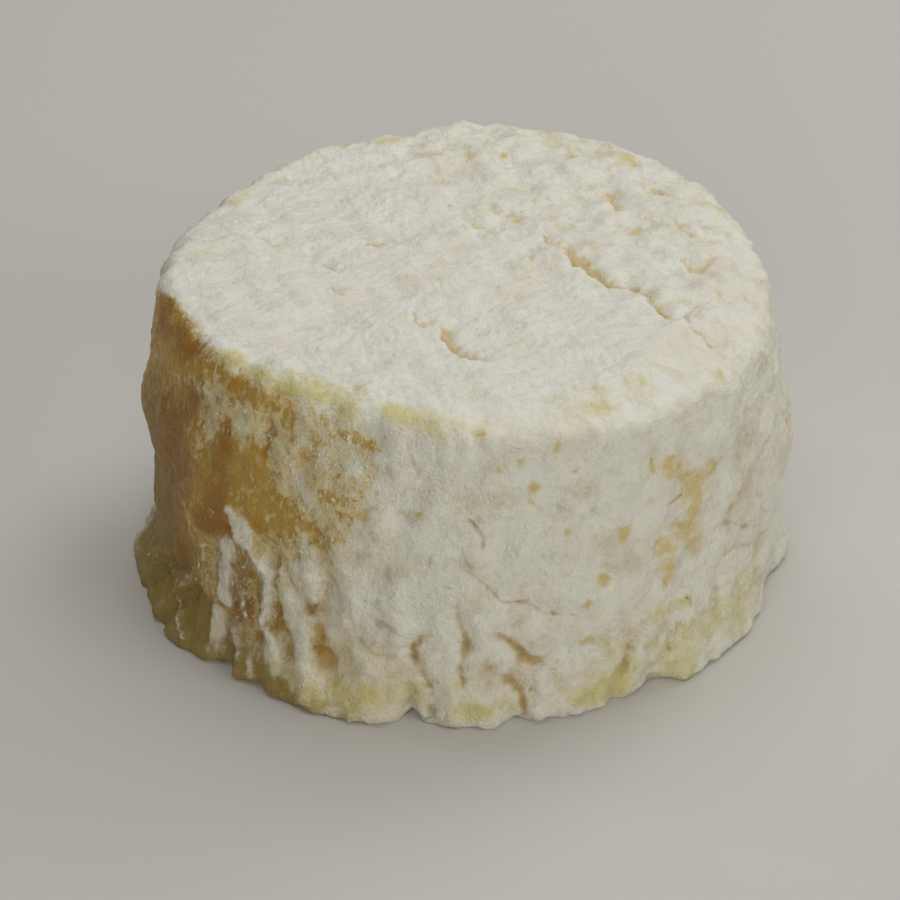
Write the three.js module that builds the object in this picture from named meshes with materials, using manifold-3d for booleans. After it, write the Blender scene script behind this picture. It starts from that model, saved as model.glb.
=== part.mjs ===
// A small soft cheese with a wrinkled white rind, standing on its flat face.
// Millimetres, +Z up, origin under the middle of the wheel at the face it stands on.
//
// The wheel is turned as a plain round blank, and each point of the blank is then moved:
// the outline, the lean of the upper side, the spread foot, the folds of the rind and a
// slow unevenness. The lines that the drying rack pressed into the top are cut last.

import * as THREE from 'three';
import { mergeVertices } from 'three/addons/utils/BufferGeometryUtils.js';
import Module from 'manifold-3d';

// ---- Driving dimensions ----

const radius = 38.5;          // mean radius of the side
const height = 40.2;          // from the standing face to the top
const rimRound = 2.0;         // rounding of the top edge
const footRound = 1.2;        // rounding of the bottom edge

const stepsAround = 132;      // facets round the wheel
const sideRings = 20;         // rings of points up the side
const topRings = [36.6, 34.2, 31.6, 28.8, 25.6, 22.0, 18.0, 13.5, 8.6, 4.2];
const baseRings = [18.0, 33.0];

// Values round the wheel, every 30 degrees: -180 is the left, -90 the front, 0 the right
// and 90 the back.
const bodyRadius = [37.6, 38.0, 38.2, 38.3, 38.6, 39.1, 39.3, 38.9, 38.7, 38.8, 38.4, 37.9];
const footSpread = [3.3, 2.6, 1.5, 1.3, 0.9, 1.2, 1.4, 1.2, 1.2, 1.0, 1.4, 2.2];
const upperLean = [1.7, 3.1, 4.3, 1.8, 0.7, 1.2, 2.2, 0.7, -1.0, -0.7, 1.9, 2.8];
const rimDrop = [0.3, 0.2, 0.3, 0.8, 2.0, 2.4, 2.8, 1.2, 0.3, 0.0, 0.2, 0.3];

const footHeight = 7.0;       // the foot spreads below this
const leanHeight = 22.0;      // the side leans in above this
const dropReach = 9.0;        // the rim is rounded down over this much of the top
const dropHeight = 27.0;      // and above this height of the side

// Broad swellings of the side: angle, height, spread in degrees, spread in height, how far out.
const swellings = [
  { angle: 0, level: 17.0, wide: 35, tall: 7.0, out: 1.0 },
  { angle: 180, level: 23.5, wide: 14, tall: 4.5, out: 1.1 },
  { angle: 118, level: 16.0, wide: 24, tall: 8.0, out: 0.7 },
];

// Lobes (+) and notches (-) along the bottom edge: angle, half width in degrees, how far out,
// and how far the edge lifts off the surface.
const footLobes = [
  { angle: 179, wide: 5, out: 0.6, lift: 0 },
  { angle: -164, wide: 6, out: -0.5, lift: 0.2 },
  { angle: -150, wide: 5, out: 0.6, lift: 0 },
  { angle: -137.5, wide: 3.2, out: -1.9, lift: 0.4 },
  { angle: -128, wide: 2.6, out: -0.7, lift: 0.2 },
  { angle: -116, wide: 4.5, out: 0.9, lift: 0 },
  { angle: -106.5, wide: 4, out: 1.1, lift: 0 },
  { angle: -98.9, wide: 1.5, out: -3.0, lift: 0.6 },
  { angle: -87, wide: 5, out: 0.6, lift: 0 },
  { angle: -80.6, wide: 1.8, out: -1.3, lift: 0.4 },
  { angle: -68, wide: 5, out: 0.5, lift: 0 },
  { angle: -61.8, wide: 1.7, out: -0.9, lift: 0.3 },
  { angle: -52, wide: 4, out: -1.8, lift: 1.3 },
  { angle: -45, wide: 4, out: 0.6, lift: 0 },
  { angle: -14, wide: 7, out: -1.9, lift: 0.5 },
  { angle: 2, wide: 6, out: 0.6, lift: 0 },
];
const lobeHeight = 4.0;       // height up to which the lobes and notches reach

// Folds of the rind down the side: a path of [angle, height] points, the half width,
// and how far the fold stands out (+) or is drawn in (-).
const folds = [
  { path: [[-135.4, 22], [-130, 18.5], [-127.7, 17], [-125, 12.9]], wide: 1.4, out: 0.8 },
  { path: [[-136.7, 17.7], [-135.5, 10.5]], wide: 1.4, out: 0.7 },
  { path: [[-117.7, 20.2], [-115.3, 15]], wide: 1.3, out: 0.6 },
  { path: [[-121.7, 14.5], [-117, 10.4]], wide: 1.5, out: 0.7 },
  { path: [[-112, 21.8], [-111.5, 11.4]], wide: 1.5, out: 0.8 },
  { path: [[-141.6, 8.5], [-139.6, 0.5]], wide: 1.6, out: 0.9 },
  { path: [[-125, 8.5], [-124, 2]], wide: 1.5, out: 0.7 },
  { path: [[-133.9, 18], [-132, 9]], wide: 1.4, out: -0.8 },
  { path: [[-123.5, 20], [-125, 10]], wide: 1.5, out: -1.2 },
  { path: [[-114.6, 17], [-114.8, 7]], wide: 1.3, out: -0.9 },
  { path: [[-130.5, 8], [-129, 0]], wide: 1.6, out: -0.8 },
  { path: [[-98, 11.5], [-96.9, 8.7], [-94.9, 5.5], [-95.5, 0]], wide: 1.3, out: -1.2 },
  { path: [[-90.4, 15.3], [-89, 11.9], [-89.3, 6]], wide: 1.3, out: -0.8 },
  { path: [[-84, 13.2], [-80.8, 11.1], [-77, 8.8]], wide: 1.4, out: -1.3 },
  { path: [[-81.2, 6.6], [-79.4, 3.9], [-80.4, 0]], wide: 1.2, out: -1.0 },
  { path: [[-68.4, 10], [-67.4, 7]], wide: 1.1, out: -0.6 },
  { path: [[-58.8, 8.4], [-60.8, 6.4], [-61.5, 0]], wide: 1.2, out: -0.9 },
  { path: [[-89.2, 23.7], [-85.8, 19.5], [-79, 16.4], [-69.4, 13.7]], wide: 1.4, out: -0.6 },
  { path: [[-88.2, 28], [-85.8, 25]], wide: 1.2, out: -0.4 },
  { path: [[-38.7, 19.3], [-26.4, 14.7]], wide: 1.6, out: -0.6 },
  { path: [[-37.5, 14.9], [-29.9, 13.1], [-20.3, 11.2]], wide: 1.6, out: -0.6 },
];

// The round blister low on the front left: its centre, its ring and the hollow inside it.
const blister = { angle: -104, level: 11.8, ring: 4.0, wide: 1.3, out: 0.7, hollow: 0.5 };

// Folds on the rest of the side, drawn at random with the same sizes.
const restFolds = { count: 38, from: -24, to: 216, length: 9, wide: 1.5, deep: 1.5 };
const restLobes = { count: 13, from: 14, to: 196, wide: 4, out: 0.9 };

// Slow unevenness of the whole rind.
const waves = { count: 18, shortest: 7, longest: 17, high: 0.22 };

// Lines left by the rack in the top: paths of [x, y] points, their width and depth.
const rackLines = [
  { path: [[-7.7, 25], [-4.4, 22.9], [-2.3, 18.4], [-1.1, 16.5], [2, 11.1], [4, 9.3]], wide: 1.1, deep: 0.45 },
  { path: [[3.1, 16.5], [7, 13.4], [10, 10.8], [11.1, 7.3], [13.9, 5.5]], wide: 1.3, deep: 0.5 },
  { path: [[12.6, 5], [15.6, -0.3], [19, -4.7], [22.9, -7.4], [25.8, -12], [29.8, -18.9]], wide: 1.6, deep: 0.85 },
  { path: [[25.8, -12], [27.1, -9.1], [28.6, -8]], wide: 1.1, deep: 0.45 },
  { path: [[-25.9, 10.8], [-22.8, 6.8], [-21.2, 6.2]], wide: 1.2, deep: 0.45 },
  { path: [[-18.3, 4.7], [-16.1, 0.5], [-12.9, -4.5], [-8.9, -10.1]], wide: 1.3, deep: 0.5 },
  { path: [[-5.6, -10.1], [-3.1, -13.6], [-1.8, -17.5], [1.9, -21.6]], wide: 1.7, deep: 0.9 },
];
const lineSides = 6;          // sides of the round section that cuts a line
const lineStep = 2.2;         // length of one step along a line

// ---- Small helpers ----

const degree = Math.PI / 180;

function ease(x) {
  const t = Math.min(Math.max(x, 0), 1);
  return t * t * (3 - 2 * t);
}

// A seeded draw between 0 and 1, the same each time.
function makeDraw(seed) {
  let state = seed;
  return () => {
    state = (state * 16807) % 2147483647;
    return state / 2147483647;
  };
}

// The shortest turn from one angle to another, in degrees.
function turnBetween(a, b) {
  return ((a - b + 540) % 360 + 360) % 360 - 180;
}

// A smooth value at an angle from values that are evenly spaced round the wheel.
function around(values, angle) {
  const n = values.length;
  const place = (angle + 180) / 360 * n;
  const i = Math.floor(place);
  const f = place - i;
  const [a, b, c, d] = [-1, 0, 1, 2].map((k) => values[(((i + k) % n) + n) % n]);
  return b + 0.5 * f * (c - a + f * (2 * a - 5 * b + 4 * c - d + f * (3 * (b - c) + d - a)));
}

// How far a point of the side lies from a path of [angle, height] points, in millimetres.
function distanceToPath(path, angle, level) {
  let nearest = Infinity;
  for (let i = 0; i + 1 < path.length; i++) {
    const ax = turnBetween(path[i][0], angle) * degree * radius;
    const bx = turnBetween(path[i + 1][0], angle) * degree * radius;
    const az = path[i][1] - level;
    const bz = path[i + 1][1] - level;
    const along = (bx - ax) ** 2 + (bz - az) ** 2;
    const t = Math.min(Math.max(-(ax * (bx - ax) + az * (bz - az)) / along, 0), 1);
    nearest = Math.min(nearest, Math.hypot(ax + t * (bx - ax), az + t * (bz - az)));
  }
  return nearest;
}

// ---- The rind's relief ----

function drawRestFolds() {
  const draw = makeDraw(41);
  const list = [];
  for (let i = 0; i < restFolds.count; i++) {
    const share = (i + 0.8 * draw()) / restFolds.count;
    const angle = restFolds.from + share * (restFolds.to - restFolds.from);
    const foot = 12 * draw() * draw();
    const length = restFolds.length * (0.4 + draw());
    const sway = 5 * (draw() - 0.5);
    list.push({
      path: [[angle, foot], [angle + sway, foot + length]],
      wide: restFolds.wide * (0.8 + 0.5 * draw()),
      out: restFolds.deep * (0.3 - draw()),
    });
  }
  return list;
}

function drawRestLobes() {
  const draw = makeDraw(97);
  const list = [];
  for (let i = 0; i < restLobes.count; i++) {
    const share = (i + 0.7 * draw()) / restLobes.count;
    const out = 1.6 * restLobes.out * (draw() - 0.55);
    list.push({
      angle: restLobes.from + share * (restLobes.to - restLobes.from),
      wide: restLobes.wide * (0.6 + 0.8 * draw()),
      out,
      lift: Math.max(0, -0.5 * out),
    });
  }
  return list;
}

function drawWaves() {
  const draw = makeDraw(2203);
  const list = [];
  for (let i = 0; i < waves.count; i++) {
    const up = 2 * draw() - 1;
    const turn = 2 * Math.PI * draw();
    const flat = Math.sqrt(1 - up * up);
    const length = waves.shortest + (waves.longest - waves.shortest) * draw();
    const direction = new THREE.Vector3(flat * Math.cos(turn), flat * Math.sin(turn), up);
    list.push({ direction: direction.multiplyScalar(2 * Math.PI / length), phase: 2 * Math.PI * draw() });
  }
  return list;
}

const allFolds = [...folds, ...drawRestFolds()];
const allLobes = [...footLobes, ...drawRestLobes()];
const allWaves = drawWaves();

function unevenness(point) {
  let sum = 0;
  for (const wave of allWaves) {
    sum += Math.sin(wave.direction.dot(point) + wave.phase);
  }
  return waves.high * sum / Math.sqrt(waves.count / 2);
}

// How far the side stands out at an angle and height: its folds and the blister.
function foldRelief(angle, level) {
  let out = 0;
  for (const fold of allFolds) {
    const far = distanceToPath(fold.path, angle, level) / fold.wide;
    out += fold.out * Math.exp(-far * far);
  }
  const across = turnBetween(angle, blister.angle) * degree * radius;
  const fromCentre = Math.hypot(across, level - blister.level);
  const fromRing = (fromCentre - blister.ring) / blister.wide;
  out += blister.out * Math.exp(-fromRing * fromRing);
  out -= blister.hollow * Math.exp(-((fromCentre / blister.ring) ** 2) * 2);
  return out;
}

function sideRadius(angle, level) {
  let r = around(bodyRadius, angle);
  r += around(footSpread, angle) * Math.max(0, 1 - level / footHeight) ** 2;
  r -= around(upperLean, angle) * Math.max(0, (level - leanHeight) / (height - leanHeight)) ** 2;
  for (const s of swellings) {
    const across = turnBetween(angle, s.angle) / s.wide;
    const up = (level - s.level) / s.tall;
    r += s.out * Math.exp(-across * across - up * up);
  }
  for (const lobe of allLobes) {
    const across = turnBetween(angle, lobe.angle) / lobe.wide;
    r += lobe.out * Math.exp(-across * across - (level / lobeHeight) ** 2);
  }
  return r;
}

function footLift(angle) {
  let lift = 0;
  for (const lobe of allLobes) {
    const across = turnBetween(angle, lobe.angle) / lobe.wide;
    lift += lobe.lift * Math.exp(-across * across);
  }
  return lift;
}

// Moves one point of the round blank to its place on the cheese.
function moveToRind(point) {
  const blankRadius = Math.hypot(point.x, point.y);
  const level = point.z;
  const angle = Math.atan2(point.y, point.x) / degree;
  const onSide = ease((blankRadius - (radius - rimRound)) / rimRound);
  const onTop = ease((level - (height - rimRound)) / rimRound);
  const uneven = unevenness(point);

  let r = blankRadius / radius * sideRadius(angle, level);
  r += onSide * (foldRelief(angle, level) + uneven);
  const drop = ease((blankRadius - (radius - dropReach)) / dropReach)
    * ease((level - dropHeight) / (height - dropHeight));
  let z = level - around(rimDrop, angle) * drop ** 1.5 + onTop * uneven;
  z += footLift(angle) * onSide * Math.max(0, 1 - level / lobeHeight) ** 2;
  const turned = angle * degree;
  point.set(r * Math.cos(turned), r * Math.sin(turned), z);
}

// ---- Building the wheel ----

// Half the section of the round blank, from the middle of the base to the middle of the top.
function blankProfile() {
  const points = [new THREE.Vector2(0, 0)];
  for (const r of baseRings) {
    points.push(new THREE.Vector2(r, 0));
  }
  for (const turn of [0, 45, 90]) {
    const x = radius - footRound + footRound * Math.sin(turn * degree);
    points.push(new THREE.Vector2(x, footRound - footRound * Math.cos(turn * degree)));
  }
  const top = height - rimRound;
  for (let i = 1; i < sideRings; i++) {
    points.push(new THREE.Vector2(radius, footRound + (top - footRound) * i / sideRings));
  }
  for (const turn of [0, 45]) {
    const x = radius - rimRound + rimRound * Math.cos(turn * degree);
    points.push(new THREE.Vector2(x, top + rimRound * Math.sin(turn * degree)));
  }
  for (const r of topRings) {
    points.push(new THREE.Vector2(r, height));
  }
  points.push(new THREE.Vector2(0, height));
  return points;
}

// A closed geometry with shared points and no empty triangles.
function closed(geometry) {
  geometry.deleteAttribute('normal');
  geometry.deleteAttribute('uv');
  const merged = mergeVertices(geometry, 1e-4);
  const index = merged.index.array;
  const kept = [];
  for (let i = 0; i < index.length; i += 3) {
    const [a, b, c] = [index[i], index[i + 1], index[i + 2]];
    if (a !== b && b !== c && c !== a) {
      kept.push(a, b, c);
    }
  }
  merged.setIndex(kept);
  return merged;
}

function wheelBlank() {
  const geometry = new THREE.LatheGeometry(blankProfile(), stepsAround);
  geometry.rotateX(Math.PI / 2);
  const blank = closed(geometry);
  const position = blank.getAttribute('position');
  const point = new THREE.Vector3();
  for (let i = 0; i < position.count; i++) {
    point.fromBufferAttribute(position, i);
    moveToRind(point);
    position.setXYZ(i, point.x, point.y, point.z);
  }
  return blank;
}

// The round bar that cuts one rack line. It sinks in after its first point and comes up at its last.
function lineCutter(line) {
  const bar = line.wide / 2 + 0.35;
  const last = line.path.length - 1;
  const points = line.path.map(([x, y], i) => {
    const sunk = i === 0 || i === last ? -0.1 : line.deep;
    return new THREE.Vector3(x, y, height + bar - sunk);
  });
  const curve = new THREE.CatmullRomCurve3(points);
  const section = new THREE.Shape();
  for (let i = 0; i < lineSides; i++) {
    const turn = 2 * Math.PI * i / lineSides;
    const [x, y] = [bar * Math.cos(turn), bar * Math.sin(turn)];
    if (i === 0) {
      section.moveTo(x, y);
    } else {
      section.lineTo(x, y);
    }
  }
  const steps = Math.max(3, Math.round(curve.getLength() / lineStep));
  return closed(new THREE.ExtrudeGeometry(section, { steps, bevelEnabled: false, extrudePath: curve }));
}

function toSolid(wasm, geometry) {
  return new wasm.Manifold(new wasm.Mesh({
    numProp: 3,
    vertProperties: new Float32Array(geometry.getAttribute('position').array),
    triVerts: new Uint32Array(geometry.index.array),
  }));
}

function toGeometry(solid) {
  const mesh = solid.getMesh();
  const geometry = new THREE.BufferGeometry();
  geometry.setAttribute('position', new THREE.BufferAttribute(new Float32Array(mesh.vertProperties), 3));
  geometry.setIndex(new THREE.BufferAttribute(new Uint32Array(mesh.triVerts), 1));
  geometry.computeVertexNormals();
  return geometry;
}

// Puts the middle of the wheel's outline on the Z axis.
function centre(geometry) {
  geometry.computeBoundingBox();
  const middle = geometry.boundingBox.getCenter(new THREE.Vector3());
  geometry.translate(-middle.x, -middle.y, 0);
  return geometry;
}

async function cheeseWheel() {
  const wasm = await Module();
  wasm.setup();
  let solid = toSolid(wasm, wheelBlank());
  for (const line of rackLines) {
    solid = solid.subtract(toSolid(wasm, lineCutter(line)));
  }
  const rind = new THREE.MeshStandardMaterial({ color: 0xe4e0cd, roughness: 0.8, metalness: 0 });
  const mesh = new THREE.Mesh(centre(toGeometry(solid)), rind);
  mesh.name = 'cheese_wheel';
  return mesh;
}

const group = new THREE.Group();
group.add(await cheeseWheel());

export default group;
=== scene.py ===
# A small soft cheese with a white mould rind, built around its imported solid.
# Shape values are in millimetres and degrees. Angles run round the wheel: -90 is the front,
# 0 the right, 90 the back. A height on the side goes on over the rim and across the top.
import math

import bmesh
import bpy
import numpy as np
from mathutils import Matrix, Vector


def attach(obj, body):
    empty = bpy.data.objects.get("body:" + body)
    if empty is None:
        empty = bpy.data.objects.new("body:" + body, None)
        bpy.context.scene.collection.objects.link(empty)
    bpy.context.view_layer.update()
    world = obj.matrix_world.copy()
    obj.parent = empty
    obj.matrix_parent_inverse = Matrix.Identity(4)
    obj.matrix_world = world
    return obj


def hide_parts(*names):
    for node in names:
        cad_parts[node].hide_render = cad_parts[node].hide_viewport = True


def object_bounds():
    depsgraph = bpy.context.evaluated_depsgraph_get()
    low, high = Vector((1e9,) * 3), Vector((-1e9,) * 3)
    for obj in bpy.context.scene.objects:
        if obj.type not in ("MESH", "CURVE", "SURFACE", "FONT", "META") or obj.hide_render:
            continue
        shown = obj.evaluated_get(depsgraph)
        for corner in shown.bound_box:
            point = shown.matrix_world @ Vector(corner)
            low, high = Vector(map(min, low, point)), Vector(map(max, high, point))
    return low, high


mm = 0.001

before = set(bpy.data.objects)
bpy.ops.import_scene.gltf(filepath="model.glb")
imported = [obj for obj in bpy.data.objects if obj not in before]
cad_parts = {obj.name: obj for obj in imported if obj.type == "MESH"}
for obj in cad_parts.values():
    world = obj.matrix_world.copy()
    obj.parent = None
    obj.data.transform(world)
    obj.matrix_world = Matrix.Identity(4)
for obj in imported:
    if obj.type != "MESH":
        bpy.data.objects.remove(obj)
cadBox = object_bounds()
print("frame loaded")


# the wheel's form, with the same values as the solid
wheel = {
    "radius": 38.5,
    "height": 40.2,
    "rimRound": 2.0,
    "footRound": 1.2,
    # round the wheel every 30 degrees from the left (-180) by the front (-90)
    "bodyRadius": [37.6, 38.0, 38.2, 38.3, 38.6, 39.1, 39.3, 38.9, 38.7, 38.8, 38.4, 37.9],
    "footSpread": [3.3, 2.6, 1.5, 1.3, 0.9, 1.2, 1.4, 1.2, 1.2, 1.0, 1.4, 2.2],
    "upperLean": [1.7, 3.1, 4.3, 1.8, 0.7, 1.2, 2.2, 0.7, -1.0, -0.7, 1.9, 2.8],
    "rimDrop": [0.3, 0.2, 0.3, 0.8, 2.0, 2.4, 2.8, 1.2, 0.3, 0.0, 0.2, 0.3],
    "footHeight": 7.0,
    "leanHeight": 22.0,
    "dropReach": 9.0,
    "dropHeight": 27.0,
    # angle, height, spread in degrees, spread in height, how far out
    "swellings": [(0, 17.0, 35, 7.0, 1.0), (180, 23.5, 14, 4.5, 1.1), (118, 16.0, 24, 8.0, 0.7)],
    # angle, half width in degrees, how far out, how far the edge lifts
    "footLobes": [
        (179, 5, 0.6, 0), (-164, 6, -0.5, 0.2), (-150, 5, 0.6, 0), (-137.5, 3.2, -1.9, 0.4),
        (-128, 2.6, -0.7, 0.2), (-116, 4.5, 0.9, 0), (-106.5, 4, 1.1, 0), (-98.9, 1.5, -3.0, 0.6),
        (-87, 5, 0.6, 0), (-80.6, 1.8, -1.3, 0.4), (-68, 5, 0.5, 0), (-61.8, 1.7, -0.9, 0.3),
        (-52, 4, -1.8, 1.3), (-45, 4, 0.6, 0), (-14, 7, -1.9, 0.5), (2, 6, 0.6, 0),
    ],
    "lobeHeight": 4.0,
    # folds and foot lobes for the sides that the lists leave plain
    "restFolds": {"count": 38, "from": -24, "to": 216, "foot": 12, "length": 9, "sway": 5, "wide": 1.5,
                  "deep": 1.5, "tint": 0.5, "mostTint": 0.7},
    "restLobes": {"count": 13, "from": 14, "to": 196, "wide": 4, "out": 0.9},
    "waves": {"count": 18, "shortest": 7, "longest": 17, "high": 0.16},
}

# ridges (+) and furrows (-) of the side: path of (angle, height) points, half width,
# how far out, and how strongly a ridge is white or a furrow is ochre
sideFolds = [
    ([(-135, 22.4), (-133.5, 21.2), (-132.2, 19.8)], 1, 0.65, 1.1),
    ([(-131.6, 22), (-130.4, 21), (-130, 19.6)], 0.85, 0.55, 1),
    ([(-132, 20), (-130.8, 19.2), (-129, 18), (-127.5, 17)], 0.8, 0.6, 0.9),
    ([(-127.2, 18), (-126.2, 16.2), (-126, 14), (-126.6, 11.4), (-127.2, 10)], 0.95, 0.9, 1),
    ([(-136.6, 17.2), (-136.6, 15), (-137.2, 12.4), (-137.1, 10.4), (-137, 9.6)], 1.3, 0.85, 1.4),
    ([(-144, 14.8), (-144, 12.6)], 0.5, 0.4, 0.6),
    ([(-134.8, 14.4), (-134, 12.8)], 0.45, 0.5, 0.6),
    ([(-139.8, 7), (-139.5, 4.6), (-139.3, 1.8)], 1.8, 0.8, 0.3),
    ([(-152.8, 4), (-151, 3), (-149, 2), (-146.4, 1.6)], 0.4, 0.5, 0.8),
    ([(-168.8, 2.2), (-168, 4), (-160.5, 8), (-153.2, 11)], 1, 0.8, 0.2),
    ([(-157, 1.8), (-154.5, 4.2), (-151, 7), (-146.2, 10)], 0.9, 0.7, 0.2),
    ([(-166.5, 0.8), (-164, 3.4), (-158, 6.6), (-151.5, 9.4)], 1, -0.8, 0.2),
    ([(-154.6, 1.2), (-151.6, 4.4), (-145.8, 8)], 1, -0.8, 0.3),
    ([(-134.5, 6), (-134.2, 4.4), (-133.2, 2.8)], 1.2, 0.4, 0.3),
    ([(-126.3, 8.4), (-125, 5.2), (-124, 3.4)], 1.3, 0.8, 0.6),
    ([(-130.8, 2.8), (-129.5, 1.2)], 0.5, 0.5, 0.5),
    ([(-121.4, 14.4), (-119.6, 12.4), (-119.4, 7.6), (-117.6, 3)], 1.9, 0.8, 0.5),
    ([(-117.8, 19.6), (-117.3, 17.4), (-116.5, 15.2)], 1, 0.8, 0.85),
    ([(-120, 5.4), (-116.5, 4.4), (-113.2, 3)], 1.4, 0.6, 0.55),
    ([(-133, 11.6), (-132.5, 9.4), (-131.8, 7.6)], 1.1, 0.6, 0.4),
    ([(-112, 19), (-110.2, 16.6), (-110, 14.4), (-111, 12.4)], 1.4, 0.7, 0.6),
    ([(-109.5, 9), (-106.5, 8), (-104.5, 6)], 2, 0.5, 0.5),
    ([(-125, 18.6), (-124.6, 15.4), (-124.8, 12.6), (-124.4, 9.6), (-123.2, 7.6), (-122.6, 5.6)],
     0.7, -1.2, 1.1),
    ([(-136.5, 18.8), (-134, 16.2), (-131, 14.8), (-129.8, 13.4)], 0.9, -0.9, 0.9),
    ([(-141.2, 15.6), (-142.2, 11.8), (-140, 8.8), (-138, 7.8)], 1, -0.8, 0.8),
    ([(-134.5, 8), (-132.8, 6.8), (-130.3, 5.8), (-128.6, 7.6)], 0.8, -0.7, 0.8),
    ([(-113.6, 18.6), (-114.2, 16), (-115.2, 13.4), (-115.8, 11.8), (-116, 9), (-114.8, 6.2),
      (-114.2, 5)], 0.9, -0.9, 0.6),
    ([(-116.2, 10.6), (-116, 8), (-115.6, 6)], 1.2, -0.5, 0.5),
    ([(-148.5, 3.4), (-145, 2.2)], 0.6, -0.5, 0.7),
    ([(-122.8, 18.4), (-121.8, 16.8), (-120, 15.2)], 0.5, -0.6, 0.7),
    ([(-141.8, 8.2), (-143.8, 5), (-142, 2.6)], 0.8, -0.6, 0.4),
    ([(-137, 8.4), (-136.8, 4), (-136.4, 1)], 0.7, -0.25, 0.4),
    ([(-114.5, 20.8), (-112.8, 20), (-111.8, 18.8)], 0.8, -0.5, 0.8),
    ([(-109.6, 15), (-109.6, 13.4), (-109, 11.2), (-106.4, 9.6), (-102.5, 8.9)], 0.7, -0.3, 0.3),
    ([(-97, 11.2), (-98.3, 10.2), (-98, 8.6), (-96.8, 6.6), (-95.5, 5), (-95, 2)], 1.2, -1.1, 0.7),
    ([(-90.5, 16), (-90.5, 14.2), (-89.2, 12.4), (-88.8, 10.4), (-89.8, 8), (-89.5, 5.6)],
     1.1, -0.8, 0.6),
    ([(-82.8, 11.8), (-81, 11), (-79.5, 9.8), (-78, 8.2), (-76.2, 7.6)], 1.2, -1.2, 0.8),
    ([(-81.5, 5.6), (-79.8, 4), (-78.5, 3), (-78.8, 0.8)], 1.1, -0.9, 0.7),
    ([(-76.2, 7.8), (-73.2, 8.8), (-69.7, 8.8), (-67, 7.4), (-67.2, 5.4)], 1.2, -0.35, 0.3),
    ([(-58, 7.2), (-59, 5.6), (-60.5, 3.4), (-61.5, 0)], 1.1, -0.8, 0.6),
    ([(-50, 6.4), (-49.8, 4.4)], 1.1, -0.3, 0.4),
    ([(-88.9, 22.4), (-86.2, 19.4), (-83.2, 17), (-78.2, 16), (-73.5, 14.2), (-69.7, 13.6)],
     1.3, -0.45, 0.3),
    ([(-88.2, 27.8), (-87, 26.8), (-86, 25.8), (-86, 24.6)], 0.9, -0.35, 0.4),
    ([(-37.5, 18.4), (-35, 18), (-30, 15.8), (-25.2, 14)], 1.2, -0.4, 0.3),
    ([(-40.5, 14.2), (-33.5, 14.2), (-27.2, 12.2), (-20.3, 10.2)], 1.3, -0.4, 0.25),
    ([(-93.4, 12.4), (-92.6, 8), (-92.4, 3.4)], 1.5, 0.4, 0.2),
    ([(-85.8, 13), (-85.4, 8), (-85.6, 3.4)], 1.8, 0.4, 0.2),
    ([(-73, 6), (-69, 6.6), (-65.4, 5)], 1.6, 0.35, 0.2),
    ([(-104, 15.8), (-101, 14.4), (-100.8, 11.4)], 1.4, 0.4, 0.3),
    ([(-103.2, 37), (-103.4, 33), (-103.8, 31)], 1, -0.15, 0.25),
    ([(-99.5, 37.6), (-98, 35.2), (-97.3, 33)], 1, -0.2, 0.35),
    ([(-86, 38), (-86.5, 35.8), (-86.5, 33)], 1, -0.12, 0.2),
    ([(-102, 28.8), (-99.8, 28), (-97.8, 27.6)], 1, -0.15, 0.3),
    ([(-95.5, 41.5), (-94.6, 39), (-93.8, 35)], 0.9, -0.35, 0.2),
    ([(-91.6, 41.8), (-91, 39.4), (-90.6, 36.4)], 0.8, -0.35, 0.2),
    ([(-88.4, 42.4), (-88, 40), (-87, 37)], 0.8, -0.3, 0.15),
    ([(-93.4, 41.6), (-92.6, 39), (-92, 36)], 0.9, 0.3, 0),
    ([(-89.9, 42), (-89.4, 39.6), (-89, 37)], 0.7, 0.3, 0),
    ([(-106.4, 42), (-105.4, 39.4), (-105, 36)], 1.2, -0.4, 0.2),
    ([(-98.6, 42), (-98.4, 39), (-97.6, 36.8)], 1, -0.25, 0.1),
]

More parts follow.
